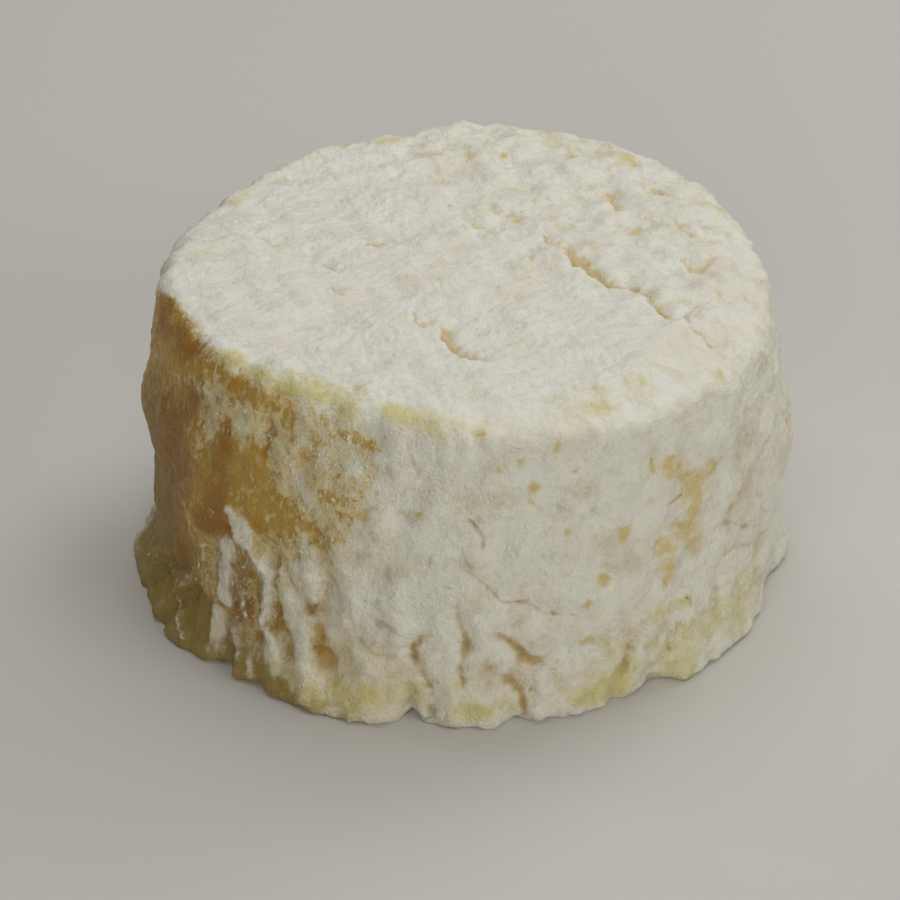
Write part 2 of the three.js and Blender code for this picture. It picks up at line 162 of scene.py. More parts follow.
# creases that the drying rack left in the top: path of (x, y) points, width of the gentle
# side, depth, tint. The steep side is to the right of the way the path runs.
topCreases = [
    ([(-27.8, 10.8), (-26.5, 8.2), (-25, 6.8), (-23.8, 6.8), (-22.8, 9.2)], 1, 0.35, 0.5),
    ([(-19.8, 6), (-19.5, 2.8), (-18.2, 1.5), (-17, 0.8), (-15.8, -0.8), (-15.2, 0.4)], 0.9, 0.35, 0.45),
    ([(-16.8, -4), (-16.2, -6.2), (-15.2, -7.2)], 0.6, 0.2, 0.2),
    ([(-14.5, -9), (-13.2, -9.5)], 0.6, 0.15, 0.25),
    ([(-6, -12.2), (-5.8, -14.5), (-5, -15), (-4, -14.2)], 0.8, 0.35, 0.6),
    ([(-2.2, -15.2), (-2, -18), (-1, -19.8), (0.2, -22), (2.2, -23)], 1.3, 0.8, 0.95),
    ([(-14.8, 12), (-13.2, 9), (-12, 7), (-11, 6.2), (-10, 7.8), (-8, 7.2)], 0.9, 0.35, 0.45),
    ([(-7.8, 25.5), (-5.8, 23.2), (-4.2, 22.2)], 1.4, 0.3, 0.3),
    ([(10, 9.8), (10.5, 7.5), (11.5, 4.8), (13, 4.8), (14.2, 5)], 0.9, 0.5, 0.6),
    ([(13.5, 3.4), (15, 1.2), (16.2, -0.8), (17.5, -3), (19, -4.8), (20.5, -5)], 1.5, 0.9, 1),
    ([(20.5, -5), (21.8, -6.2), (23.2, -8.5), (24.5, -10.5), (25, -12), (26.2, -12.5)], 1, 0.7, 0.8),
    ([(26.2, -12.5), (27.5, -10.5), (28.5, -9)], 0.7, 0.4, 0.5),
    ([(27.2, -12.5), (28, -14.5), (29, -15.8), (30, -16.8)], 0.7, 0.4, 0.7),
    ([(3, 15.2), (5, 13), (6.8, 12.5)], 1.2, 0.4, 0.5),
    ([(2, 10.5), (3.2, 9.2), (4.2, 9)], 0.9, 0.3, 0.6),
    ([(5.8, 7.5), (6.8, 8.5)], 0.7, 0.2, 0.4),
    ([(27.5, 2.5), (28.2, 0.2), (29.5, -0.8), (31, 0.8), (32.2, 3)], 0.9, 0.5, 0.8),
    ([(18, 20), (18.5, 17), (18.8, 14.8), (19.2, 15)], 1, 0.4, 0.7),
    ([(24, 20.5), (25.5, 18.5), (26.8, 18)], 0.9, 0.35, 0.7),
    ([(15, -7.5), (16.5, -8), (18.8, -8)], 0.7, 0.15, 0.3),
    ([(2.2, -9.5), (4, -10.5), (5, -9)], 0.7, 0.15, 0.2),
    ([(28.8, 8.8), (27.4, 11)], 0.8, 0.4, 0.8),
]


def ease(x):
    t = np.clip(x, 0, 1)
    return t * t * (3 - 2 * t)


def bell(x):
    return np.exp(-x ** 2)


def makeDraw(seed):
    state = [seed]

    def draw():
        state[0] = (state[0] * 16807) % 2147483647
        return state[0] / 2147483647
    return draw


def turnBetween(a, b):
    return (a - b + 540) % 360 - 180


def around(values, angle):
    values = np.array(values)
    n = len(values)
    place = (angle + 180) / 360 * n
    i = np.floor(place).astype(int)
    f = place - i
    a, b, c, d = (values[(i + k) % n] for k in (-1, 0, 1, 2))
    return b + 0.5 * f * (c - a + f * (2 * a - 5 * b + 4 * c - d + f * (3 * (b - c) + d - a)))


def nearPath(path, offset):
    # distance from each point to a path, with a plus sign left of the way it runs.
    # offset gives how far a place on the path lies from each point, across and up.
    nearest, signed = np.inf, 0
    for start, end in zip(path, path[1:]):
        (ax, ay), (bx, by) = offset(start), offset(end)
        dx, dy = bx - ax, by - ay
        t = np.clip(-(ax * dx + ay * dy) / (dx * dx + dy * dy), 0, 1)
        far = np.hypot(ax + t * dx, ay + t * dy)
        signed = np.where(far < nearest, np.where(dy * ax > dx * ay, far, -far), signed)
        nearest = np.minimum(far, nearest)
    return signed


def restFolds():
    draw = makeDraw(41)
    rest = wheel["restFolds"]
    folds = []
    for i in range(rest["count"]):
        share = (i + 0.8 * draw()) / rest["count"]
        angle = rest["from"] + share * (rest["to"] - rest["from"])
        foot = rest["foot"] * draw() * draw()
        length = rest["length"] * (0.4 + draw())
        sway = rest["sway"] * (draw() - 0.5)
        wide = rest["wide"] * (0.8 + 0.5 * draw())
        out = rest["deep"] * (0.3 - draw())
        tint = min(rest["mostTint"], rest["tint"] * abs(out))
        folds.append(([(angle, foot), (angle + sway, foot + length)], wide, out, tint))
    return folds


def restLobes():
    draw = makeDraw(97)
    rest = wheel["restLobes"]
    lobes = []
    for i in range(rest["count"]):
        share = (i + 0.7 * draw()) / rest["count"]
        out = 1.6 * rest["out"] * (draw() - 0.55)
        angle = rest["from"] + share * (rest["to"] - rest["from"])
        lobes.append((angle, rest["wide"] * (0.6 + 0.8 * draw()), out, max(0, -0.5 * out)))
    return lobes


def waveField(points, seed, count, shortest, longest, stretch=(1, 1, 1)):
    # an even random swell with waves between two lengths, about 1 high
    draw = makeDraw(seed)
    total = np.zeros(len(points))
    for i in range(count):
        up = 2 * draw() - 1
        turn = 2 * math.pi * draw()
        flat = math.sqrt(1 - up * up)
        length = shortest + (longest - shortest) * draw()
        direction = np.array([flat * math.cos(turn), flat * math.sin(turn), up]) * 2 * math.pi / length
        total += np.sin(points @ (direction / np.array(stretch)) + 2 * math.pi * draw())
    return total / math.sqrt(count / 2)


# the steps of the mesh
mesh = {
    "cellsAcrossTop": 150,    # 4 times as many steps go round the side
    "sideStep": 0.385,        # height of one step of the side
    "rimSteps": 6,
    "footSteps": 3,
    "baseRings": [34, 26, 16, 8],
}


def blankSection():
    # radius and height of each ring from the edge of the top down to the base
    radius, height = wheel["radius"], wheel["height"]
    rim, foot = wheel["rimRound"], wheel["footRound"]
    section = []
    for i in range(1, mesh["rimSteps"] + 1):
        turn = math.pi / 2 * i / mesh["rimSteps"]
        section.append((radius - rim + rim * math.sin(turn), height - rim + rim * math.cos(turn)))
    steps = round((height - rim - foot) / mesh["sideStep"])
    for i in range(1, steps + 1):
        section.append((radius, height - rim - (height - rim - foot) * i / steps))
    for i in range(1, mesh["footSteps"] + 1):
        turn = math.pi / 2 * i / mesh["footSteps"]
        section.append((radius - foot + foot * math.cos(turn), foot - foot * math.sin(turn)))
    return section + [(r, 0) for r in mesh["baseRings"]]


def makeBlank():
    bm = bmesh.new()
    cells = mesh["cellsAcrossTop"]
    bmesh.ops.create_grid(bm, x_segments=cells, y_segments=cells, size=1)
    edge = wheel["radius"] - wheel["rimRound"]
    for v in bm.verts:                     # the square grid is drawn out to a round one
        x, y = v.co.x, v.co.y
        if abs(x) < 1e-9 and abs(y) < 1e-9:
            v.co = (0, 0, wheel["height"])
            continue
        if abs(x) >= abs(y):
            r, turn = x, math.pi / 4 * y / x
        else:
            r, turn = y, math.pi / 2 - math.pi / 4 * x / y
        v.co = (edge * r * math.cos(turn), edge * r * math.sin(turn), wheel["height"])
    ring = [e for e in bm.edges if e.is_boundary]
    radius, level = edge, wheel["height"]
    for nextRadius, nextLevel in blankSection():
        made = bmesh.ops.extrude_edge_only(bm, edges=ring)["geom"]
        points = [g for g in made if isinstance(g, bmesh.types.BMVert)]
        ring = [g for g in made if isinstance(g, bmesh.types.BMEdge) and g.is_boundary]
        bmesh.ops.scale(bm, vec=(nextRadius / radius, nextRadius / radius, 1), verts=points)
        bmesh.ops.translate(bm, vec=(0, 0, nextLevel - level), verts=points)
        radius, level = nextRadius, nextLevel
    bmesh.ops.contextual_create(bm, geom=ring)
    bmesh.ops.recalc_face_normals(bm, faces=bm.faces)
    data = bpy.data.meshes.new("cheese")
    bm.to_mesh(data)
    bm.free()
    return data


def broadForm(blank, angle, level, blankRadius, onSide, onTop):
    # moves the blank as the solid is moved, all but its folds, and gives the new points
    height = wheel["height"]
    out = around(wheel["bodyRadius"], angle)
    out = out + around(wheel["footSpread"], angle) * np.clip(1 - level / wheel["footHeight"], 0, 1) ** 2
    lean = np.clip((level - wheel["leanHeight"]) / (height - wheel["leanHeight"]), 0, 1) ** 2
    out = out - around(wheel["upperLean"], angle) * lean
    for at, up, wide, tall, far in wheel["swellings"]:
        out = out + far * np.exp(-(turnBetween(angle, at) / wide) ** 2 - ((level - up) / tall) ** 2)
    lift = np.zeros(len(angle))
    for at, wide, far, rise in wheel["footLobes"] + restLobes():
        across = bell(turnBetween(angle, at) / wide)
        out = out + far * across * bell(level / wheel["lobeHeight"])
        lift += rise * across

    waves = wheel["waves"]
    uneven = waves["high"] * waveField(blank, 2203, waves["count"], waves["shortest"], waves["longest"])
    radius = blankRadius / wheel["radius"] * out + onSide * uneven
    drop = ease((blankRadius - (wheel["radius"] - wheel["dropReach"])) / wheel["dropReach"])
    drop = drop * ease((level - wheel["dropHeight"]) / (height - wheel["dropHeight"]))
    z = level - around(wheel["rimDrop"], angle) * drop ** 1.5 + onTop * uneven
    z = z + lift * onSide * np.clip(1 - level / wheel["lobeHeight"], 0, 1) ** 2
    turn = np.radians(angle)
    return np.stack([radius * np.cos(turn), radius * np.sin(turn), z], 1)


# random swells of the relief: seed, how many waves, shortest and longest wave, height, stretch
swells = {
    "foldLumps": (67, 30, 3.0, 6.0, 0.55),
    "sway": (45, 24, 2.5, 5, 0.5),
    "drift": (46, 24, 1.5, 3, 0.3),
    "wobble": (19, 30, 1.4, 3.0, 0.22),
    "softSwell": (23, 30, 3.5, 6.0, 0.18, (1, 1, 1.6)),
    "lump": (11, 30, 3.2, 6.5, 1),
    "crumple": (29, 12, 6, 12, 1),
    "wrinkle": (57, 48, 1.8, 3.0, 1),
    "crinkle": (71, 60, 1.0, 1.7, 0.07),
    "pleat": (83, 36, 2.6, 4.6, 1, (1, 1, 3)),
    "edge": (91, 36, 1.8, 3.6, 0.22),
    "skin": (137, 60, 2.2, 4.0, 1, (1, 1, 2.6)),
}

fine = {
    # the mould fills the folds of the solid in part, and less so at the front and left:
    # up to which angle, share of the depth, sway of the path, share of the width that is
    # tinted, how much a fold is broken up along its length
    "foldShares": [
        (-108, 0.85, 0.15, 0.65, 0.35), (-50, 0.8, 0.35, 0.55, 0.5), (360, 0.5, 0.6, 0.45, 0.6),
    ],
    "leftAngle": -108,
    "calm": [(-164, 22), (-12, 14)],   # smoother places of the side: angle, half width
    "calmFolds": 0.7,
    "calmPleats": 0.8,
    "lip": 0.35,                       # steep side of a top crease
    "bead": (0.9, 0.45, 0.16),         # raised edge beside it: how far off, half width, height
    "creaseTint": (0.25, 0.65),
    "farRight": (0.8, 0.6, 4, 14),     # crumpled far right of the top: direction, start, width
    "lumpHigh": (0.085, 0.12),         # everywhere, and how much more on the far right
    # lumpTint and the first wrinkleTint put the crease colour into the hollows between lumps and the
    # far-right wrinkles: the rind's ochre, with painted shadow in the hollows
    "lumpTint": (0.12, 0.2),
    "wrinkleDeep": (0.11, 0.14),
    "wrinkleWide": 0.3,
    "wrinkleTint": (0.3, 0.45),        # in the wrinkles, and between them
    "wrinkleBend": 0.8,
    "bends": (12, 5, 9),               # slow bends of the wrinkles and pleats: waves, lengths
    "pleatHigh": 0.12,                 # upright pleats low on the side
    "pleatTop": 15,
    "pleatFade": 8,
    "pleatTint": (0.15, 0.1),
    "pleatBend": 0.5,
    "edgeTall": 1.8,                   # ragged bottom edge
    "skinSlant": 0.75,                 # wrinkled skin round the bare paste
    "skinWide": 0.5,
    "skinHigh": 0.2,
    "skinSink": 0.06,
    "streakHigh": 0.16,
    "edgeSway": 0.6,                   # of the streaks and spots
    "pasteSmooth": 0.3,
    "spotDeep": 0.12,
    "lineDeep": 0.25,
    "lineWide": 0.3,
    "sideTint": (45, 7),               # how far up the side's own tint goes, and fades out
    "sink": 0.12,                      # keeps the relief within the solid's outline
}

# thin dark lines at the bottom of furrows: path, half width, strength
thinLines = {
    "side": [
        ([(-97, 11.2), (-98.3, 10.2), (-98, 8.6), (-96.8, 6.6), (-95.5, 5), (-94.8, 3.4), (-95, 2)],
         0.3, 0.85),
        ([(-90.4, 15.2), (-90.4, 14.2), (-89.2, 12.4), (-88.8, 10.4), (-89.8, 8), (-89.5, 5.6)],
         0.24, 0.6),
        ([(-82.4, 11.7), (-81, 11), (-79.5, 9.8), (-78, 8.2), (-76.4, 7.7)], 0.36, 0.9),
        ([(-81.2, 5.4), (-79.8, 4), (-78.5, 3), (-78.8, 1.8)], 0.3, 0.75),
        ([(-58, 7.2), (-59, 5.6), (-59.6, 4)], 0.35, 0.6),
        ([(-50, 6.3), (-49.8, 4.6)], 0.25, 0.6),
        ([(-85.2, 18.8), (-83, 16.8), (-80.5, 16.5), (-78.2, 16), (-76.2, 15), (-73.5, 14.2),
          (-69.7, 13.6)], 0.14, 0.6),
        ([(-89.2, 23), (-88.2, 21), (-86.2, 19.4), (-84.5, 18.2)], 0.14, 0.5),
        ([(-88.2, 27.8), (-87, 26.8), (-86, 25.8), (-86, 24.6)], 0.2, 0.7),
        ([(-93.2, 19.2), (-91.2, 18.8), (-90.5, 17.6), (-90.5, 16.4)], 0.12, 0.5),
        ([(-95.2, 22.8), (-95.5, 21.6), (-96, 20.8)], 0.16, 0.6),
        ([(-90, 23), (-89.8, 21.6), (-87.5, 20.4)], 0.12, 0.4),
        ([(-109.4, 15.8), (-109.4, 13.4), (-108.8, 11.2), (-106, 9.4), (-102.5, 8.8)], 0.16, 0.4),
        ([(-99.5, 37), (-98.3, 35.2), (-97.3, 34.2), (-97.8, 33)], 0.2, 0.5),
        ([(-37.5, 18.4), (-35, 18), (-30, 15.8), (-25.2, 14)], 0.22, 0.45),
        ([(-36.8, 14.2), (-33.5, 14.2), (-27.2, 12.2)], 0.16, 0.35),
        ([(-50.7, 25.2), (-48.2, 25.8)], 0.16, 0.9),
        ([(-46, 11), (-45.3, 10.5), (-45.5, 9.8)], 0.12, 1),
        ([(-104.9, 13.5), (-104.6, 13.2)], 0.3, 0.9),
        ([(-103.2, 13.4), (-101.6, 12.8)], 0.3, 0.7),
        ([(-112.9, 5), (-112.3, 3.2)], 0.2, 0.5),
    ],
    "top": [
        ([(-6, -12.2), (-5.8, -14.5), (-5, -15)], 0.16, 0.5),
        ([(-2.2, -15.6), (-2, -18), (-1, -19.8), (0.2, -22), (1.8, -23)], 0.22, 0.7),
        ([(10.3, 8.4), (10.5, 7.5), (11.5, 5), (13, 4.9)], 0.18, 0.6),
        ([(13.8, 3), (15, 1.2), (16.2, -0.8), (17.5, -3), (19, -4.8)], 0.3, 0.7),
        ([(21.8, -6.2), (23.2, -8.5), (24.5, -10.5), (25, -12)], 0.2, 0.6),
        ([(26.6, -12.1), (27.5, -10.7)], 0.16, 0.6),
        ([(28, -14.5), (29, -15.8), (30, -16.8)], 0.16, 0.6),
        ([(-16.8, -4), (-16.2, -6.2), (-15.2, -7.2)], 0.12, 0.5),
        ([(-18.8, 1.8), (-17, 0.8), (-15.8, -0.6)], 0.14, 0.5),
        ([(-12.2, 7.3), (-11, 6.2), (-10, 7.6)], 0.14, 0.5),
    ],
}

# bare patches of the side where the amber paste shows: outlines of (angle, height) points.
# Within the cores there is no mould, and round them it is broken up. The small patch at the
# back has no core.
bareOutlines = [
    [(-176, 38.5), (-168, 41.5), (-158, 41.8), (-150, 41), (-143, 40.4), (-135, 40.5), (-127, 39.5),
     (-119, 39.2), (-112, 38.2), (-106, 37.3), (-103.5, 35), (-106, 31), (-108, 26), (-113, 21),
     (-112.6, 16), (-115.4, 13.4), (-120, 15.6), (-122.8, 17), (-124, 11), (-126, 7.6), (-132, 6.2),
     (-139, 8.6), (-146, 8), (-155, 6), (-170, 4), (-184, 5), (-190, 15), (-188, 28), (-183, 36)],
    [(128, 30), (140, 33), (150, 28), (148, 18), (138, 14), (130, 20)],
]
bareCores = [
    [(-186, 36), (-180, 39.5), (-168, 41), (-158, 40.4), (-149, 39.4), (-142, 39), (-136, 38.8),
     (-129, 38.8), (-123.5, 38.2), (-121.8, 36.4), (-122.6, 34.2), (-124.6, 34.4), (-126.2, 36.2),
     (-130, 36.4), (-136, 36), (-142, 35.8), (-148, 35), (-156, 33.5), (-170, 31), (-182, 29)],
    [(-143, 28.8), (-139.5, 31.5), (-136, 32.6), (-128.5, 32.6), (-126.3, 29.8), (-124.2, 27.6),
     (-120.8, 26.6), (-119.3, 25), (-122.5, 23), (-127.7, 21.2), (-132.2, 22), (-135.2, 22.4),
     (-136.8, 18.8), (-144.8, 16), (-144.4, 19.6), (-145.2, 23.4)],
    [(-182, 31), (-160, 34), (-147, 34.6), (-143.5, 28), (-143.4, 20), (-144.4, 14), (-149, 9), (-161, 6),
     (-176, 5), (-184, 16)],
]

# how far the paste shows there, 1 is bare
patch = {
    "broken": 0.3,
    "nearCore": 0.3,
    "core": 0.26,
    "skin": 0.5,              # less on the wrinkles of the skin, the white streaks and the ridges
    "streaks": 0.4,
    "ridges": 0.5,
    "outside": 0.5,
    "edgeWide": 2.4,
    "nearCoreWide": 6,
    "coreWide": 2,
    "warm": 0.7,              # warm tint of it left of the ridges
    "warmFrom": 12,
    "warmFade": 8,
    # shares of granules on the ridges and on the broken skin; the granules carry painted glints
    "ridgeGrain": 0.8,
    "brokenGrain": 0.7,
}

# where the mould is thinner (+) or thicker (-) than that: angle, height, half width,
# half height, strength
thinRind = [
    (-114, 37, 2, 0.8, 0.25), (-110, 36.5, 2, 0.8, 0.5), (-106.3, 36, 1.6, 0.8, 0.5),
    (-117.6, 34.2, 1, 1.6, 0.3), (-112.8, 31.6, 0.8, 0.9, 0.4), (-109, 32, 0.6, 0.6, 0.5),
    (-107.5, 30.8, 0.6, 0.6, 0.3), (-109.2, 29.4, 0.7, 0.6, 0.3), (-114.2, 28.6, 1.6, 1.3, 0.45),
    (-111.4, 28, 1.5, 1.5, 0.5), (-113.6, 23.6, 1.3, 1.4, 0.3), (-111.5, 39.6, 0.8, 0.7, 0.25),
    (-116, 38.2, 1.4, 0.7, 0.2), (-138, 33.6, 0.8, 2.2, 0.5), (-127.8, 33.4, 0.7, 1.6, 0.5),
    (-125.8, 22, 3, 1.6, 0.25), (-118, 24.5, 2, 2, 0.2), (-119.6, 31, 1.2, 2.4, 0.1),
    (-134, 10, 6, 5, 0.45), (-118, 25, 4, 2.6, 0.1), (-113, 23, 3, 2, 0.15), (-143.5, 24, 1.2, 8, 0.2),
    (-124, 31.2, 0.8, 2, -0.2), (-140.6, 37, 1.2, 1.6, -0.2), (-132, 35, 5, 1, -0.1),
    (-144.4, 34.6, 1.6, 2, -0.3), (-114.5, 34, 5, 4, -0.08), (-126, 38, 4, 1, -0.12),
]

# soft coloured areas of the side: angle, height, half width, half height, strength
areas = {
    # dull grey film over the far left of the bare patch: a thin bloom over the paste, made darker brown as
    # painted shade of the side turned from the lamps
    "filmAndShade": [
        (-166, 22, 9, 9, 1), (-168, 13, 7, 5, 0.8), (-154, 24, 5, 8, 0.9), (-155, 9, 8, 5, 1),
        (-148, 33, 3, 3, 0.6), (-132.6, 10, 1.8, 2.2, 0.9),
    ],
    # tan skin between the ridges low on the left
    "tan": [
        (-132, 12, 4.5, 5.5, 0.9), (-142, 14, 4, 4, 0.8), (-151, 10, 5, 5, 0.9), (-135, 4, 4, 4, 0.5),
        (-168, 8, 6, 4.5, 0.6), (-116, 8.4, 1.2, 2.2, 0.95), (-124.6, 12, 0.9, 6, 0.7),
        (-122.4, 7, 0.9, 4.5, 0.6), (-117, 13.5, 1.2, 1.4, 0.8), (-129, 9, 1.2, 3, 0.8),
        (-145, 11, 2, 4, 0.6), (-137, 8.4, 1.4, 1, 0.8), (-127.6, 8.8, 2, 0.9, 0.8), (-160, 8, 6, 5, 0.8),
    ],
    # pale bodies of the ridges there
    "white": [
        (-139.5, 5, 1.5, 2.2, 1), (-134.2, 4.6, 1.3, 1.8, 0.45), (-125.2, 5.6, 1.4, 2.6, 0.75),
        (-130.3, 2.4, 0.8, 1.8, 0.35), (-120, 12, 1.4, 2.2, 0.65), (-119.6, 7.5, 1.6, 3.6, 0.7),
        (-117.2, 3, 2.6, 1.8, 0.6), (-117, 17.8, 1.3, 2.3, 0.9), (-133, 21, 1.4, 1.7, 0.8),
        (-126.4, 14.5, 1, 3.5, 0.6), (-138.4, 12.6, 0.9, 2.2, 0.8), (-110.5, 5, 2, 2.4, 0.5),
    ],
    # warm cream over the whole left and its foot
    "warm": [
        (-150, 8, 20, 14, 0.9), (-118, 4, 9, 6, 0.6), (-116, 30, 9, 13, 0.75), (-98, 5, 16, 6, 0.4),
        (-60, 4, 14, 5, 0.3),
    ],
    # olive paste swollen out at the foot and showing below the rim; at the foot it is made darker as
    # painted shade, with painted warm bounce light
    "oliveAndShade": [
        (-170, 4, 12, 8, 1.1), (-154, 3, 8, 5, 1), (-142, 4, 4, 4, 0.6), (-136, 40.4, 8, 1.2, 0.4),
        (-124, 39.6, 4, 1.2, 0.3), (-131, 2.2, 8, 3, 0.9), (-118, 1, 6, 1.6, 0.6),
    ],
    # orange in the bare patch
    "deep": [
        (-135, 10.8, 1.6, 2.6, 1), (-156, 38.5, 7, 3, 0.9), (-137.4, 37.7, 2.6, 1.6, 0.5),
        (-137.4, 31.6, 1.3, 3, 0.6), (-127.6, 33.5, 1, 2.6, 0.8), (-139.6, 25, 3.4, 7, 0.7),
        (-141, 18.4, 4.4, 2, 0.9), (-141.6, 35.4, 1, 1, 0.8), (-130, 21.5, 7, 2.4, 0.4),
        (-171, 37, 4, 4, 0.8), (-133.4, 15.2, 2, 2.6, 1), (-133, 8.4, 3, 2, 0.8),
    ],
    # yellow-green where the rind thins at the rim and foot
    "green": [
        (-140, 4, 2, 2.4, 0.55), (-125.5, 4.6, 2, 2.6, 0.5), (-118, 3, 4, 3, 0.4), (-130, 2, 3, 2, 0.15),
        (-130, 41.4, 9, 1.7, 0.6), (-114, 41.2, 7, 2.6, 0.45), (-102.5, 41.6, 2.2, 1.3, 0.75),
        (-112, 38.8, 1.6, 1, 0.8), (-93, 41.4, 6, 2.4, 0.65), (-94.6, 38.4, 1, 2.4, 0.5),
        (-120, 43.6, 8, 1.6, 0.35), (-142, 41.6, 2, 1, 0.9), (-73, 43, 6, 2.5, 0.35),
        (-62, 43.5, 6, 3.5, 0.5), (-50, 45, 4, 3, 0.4), (-88, 2.2, 3.4, 1.6, 1),
        (-66, 2.6, 3.6, 1.6, 1.1), (-106, 3.6, 4.2, 1.6, 0.9), (-117, 2.4, 2.4, 1.4, 0.6),
        (-61, 2.2, 1.6, 2, 0.8), (-49, 1.6, 3.4, 2.4, 0.7), (-110.5, 3.8, 2.5, 2, 0.3),
        (-44, 5.4, 5.5, 2.2, 0.4), (-51.5, 11, 2.8, 1.2, 0.7), (-30, 5, 6, 4, 0.35),
        (-24, 10.5, 3, 3, 0.5), (-46.5, 10.4, 1.8, 1, 0.6), (-171, 3, 3, 2, 0.4), (-161, 5, 2, 2.4, 0.35),
        (-151, 3, 1.6, 1.2, 0.4), (-97, 4, 1.6, 2.5, 0.5), (-90.4, 5.6, 0.9, 1.2, 0.8),
        (-80, 2.6, 1.6, 1.6, 0.5), (-62, 3, 12, 4.5, 0.3), (-30, 4, 12, 5, 0.25), (-60, 8, 7, 3, 0.4),
        (-35, 9, 8, 4, 0.2), (-133, 40.2, 8, 1, 0.7), (-119, 40.2, 4, 0.8, 0.4),
        (-101.5, 40.2, 2, 0.8, 0.4), (-110, 44, 2, 1, 0.4), (-130, 1.6, 3, 1.6, 0.2),
        (-13.5, 40.2, 1.6, 1.4, 0.5), (-35.5, 41, 1.2, 1, 1), (-32.5, 21.8, 0.6, 0.8, 0.9),
    ],
    # cooler white and warmer beige
    "pale": [
        (-94.5, 25, 5, 3.5, 0.8), (-80, 23, 4.5, 4, 0.8), (-92, 7.6, 2.4, 3, 0.7),
        (-82.5, 10.2, 2, 3, 0.7), (-68.5, 7.2, 4, 2.4, 0.7), (-77, 34, 3.5, 3.5, 0.8),
        (-96.2, 36.6, 2.4, 3, 0.7), (-99.2, 15.2, 2, 3, 0.6), (-63, 34, 8, 5, 0.5),
    ],
    "beige": [
        (-101, 21.6, 4, 3, 0.8), (-85, 30.6, 4.5, 2.5, 0.7), (-106, 33, 2, 5, 0.8),
        (-78.5, 14.6, 5, 1.6, 0.7), (-86.8, 8.6, 1.5, 3, 0.5), (-75, 7, 2.6, 1.6, 0.6),
        (-62.8, 22.4, 4, 2.6, 0.8), (-58, 18.8, 4, 2, 0.7), (-67, 31, 4, 3, 0.5), (-31, 30.6, 3, 4, 0.6),
        (-31, 21, 5, 6, 0.9), (-60, 9, 6, 4, 0.6), (-88, 17, 3, 2, 0.6), (-18, 36, 4, 4, 0.6),
        (-72, 27, 4, 2, 0.5),
    ],
}

# ochre spots of the side: angle, height, half width, half height
spots = [
    (-77, 31.8, 0.75, 0.95), (-77.8, 29.7, 0.4, 0.5), (-83, 35.2, 0.4, 0.45), (-73, 38.2, 0.7, 0.7),
    (-65, 17.7, 0.8, 0.7), (-63.4, 8.6, 0.6, 0.45), (-67, 9.3, 0.5, 0.35), (-67, 14.8, 0.6, 0.35),
    (-106.8, 16.2, 0.3, 0.3), (-97.8, 28.4, 0.5, 0.4), (-71.2, 25.2, 0.5, 0.5), (-54.4, 31, 0.7, 1),
    (-49.4, 29.4, 1.6, 1.6), (-50.4, 31, 1, 0.7), (-48, 28, 1.3, 0.9), (-46.2, 28, 1.2, 1),
    (-45.4, 26.2, 1.7, 2), (-44.2, 24.6, 1.3, 1.2), (-41.2, 27.2, 1.8, 1.1), (-45.2, 22.8, 0.9, 1),
    (-48.6, 21.6, 1.5, 1), (-46.6, 20.4, 1.9, 1.2), (-43.8, 18.4, 1.2, 1.6), (-51.2, 19.2, 1.6, 1.1),
    (-53.2, 20.4, 1.1, 0.7), (-50.6, 16.8, 1.3, 1.1), (-51.2, 15, 0.6, 1.1), (-60.2, 23.6, 1, 0.8),
    (-39.6, 8.9, 0.5, 0.5), (-36, 20.2, 0.9, 0.5), (-36.7, 14.4, 0.4, 0.6), (-60, 8.2, 0.35, 0.3),
    (-76, 41, 0.6, 0.6), (-79.5, 36, 0.5, 0.7), (-69.6, 33.6, 0.5, 0.4), (-8.2, 21.8, 0.5, 1.2),
    (-107.4, 27.6, 0.8, 0.6), (-100.5, 40.4, 0.6, 0.5), (-86.5, 40.3, 0.6, 0.5), (-91.6, 40.4, 0.5, 0.4),
    (-52.5, 36, 0.4, 0.3), (-32.4, 21.8, 0.6, 0.6),
]
topSpots = [
    (-15.8, 18.8, 0.35, 0.5), (-1.2, 16, 0.3, 0.5), (21.8, 10.2, 0.6, 0.9), (32, -5.5, 0.4, 0.7),
    (1.2, 28.2, 0.6, 0.8), (5.2, 28.5, 0.6, 0.6), (13.8, 29, 0.4, 0.5), (16.8, 30, 0.4, 0.6),
    (8.9, 2.8, 0.3, 1.0), (-2.9, 29, 0.8, 0.5),
]

# white ridges and streaks of mould across the bare patch: path, half width
whiteStreaks = [
    ([(-145.2, 36), (-143.8, 33.8)], 0.6), ([(-143, 37.4), (-140.8, 35.2), (-138.4, 34.2)], 0.6),
    ([(-135.8, 36.2), (-133.2, 35.6), (-130.8, 34.6), (-128.8, 33.2)], 0.6),
    ([(-128.8, 36.6), (-126.8, 36), (-125, 34.6), (-125.7, 32.4)], 0.55),
    ([(-135, 33.2), (-132.8, 32.4)], 0.5), ([(-133.2, 31.6), (-132.8, 31)], 0.4),
    ([(-146.8, 29.6), (-145.5, 27.4)], 0.6), ([(-145, 28.2), (-145.8, 26.6)], 0.4),
    ([(-153.5, 22.4), (-152.4, 20.4), (-150.6, 18.6)], 0.5), ([(-150.4, 22.2), (-149.6, 21)], 0.4),
    ([(-125.7, 23), (-125.5, 21.6)], 0.5), ([(-144.5, 40.6), (-142, 40.6), (-140, 38.8)], 0.5),
    ([(-122.5, 40.6), (-121.5, 38.7), (-120, 37.8), (-120.6, 35.8)], 0.9),
    ([(-123.8, 30.2), (-123, 28)], 0.6), ([(-137, 41.4), (-135, 40.6)], 0.6),
    ([(-156.4, 20.6), (-154, 17)], 0.4), ([(-148.5, 17.5), (-147, 14)], 0.45),
]
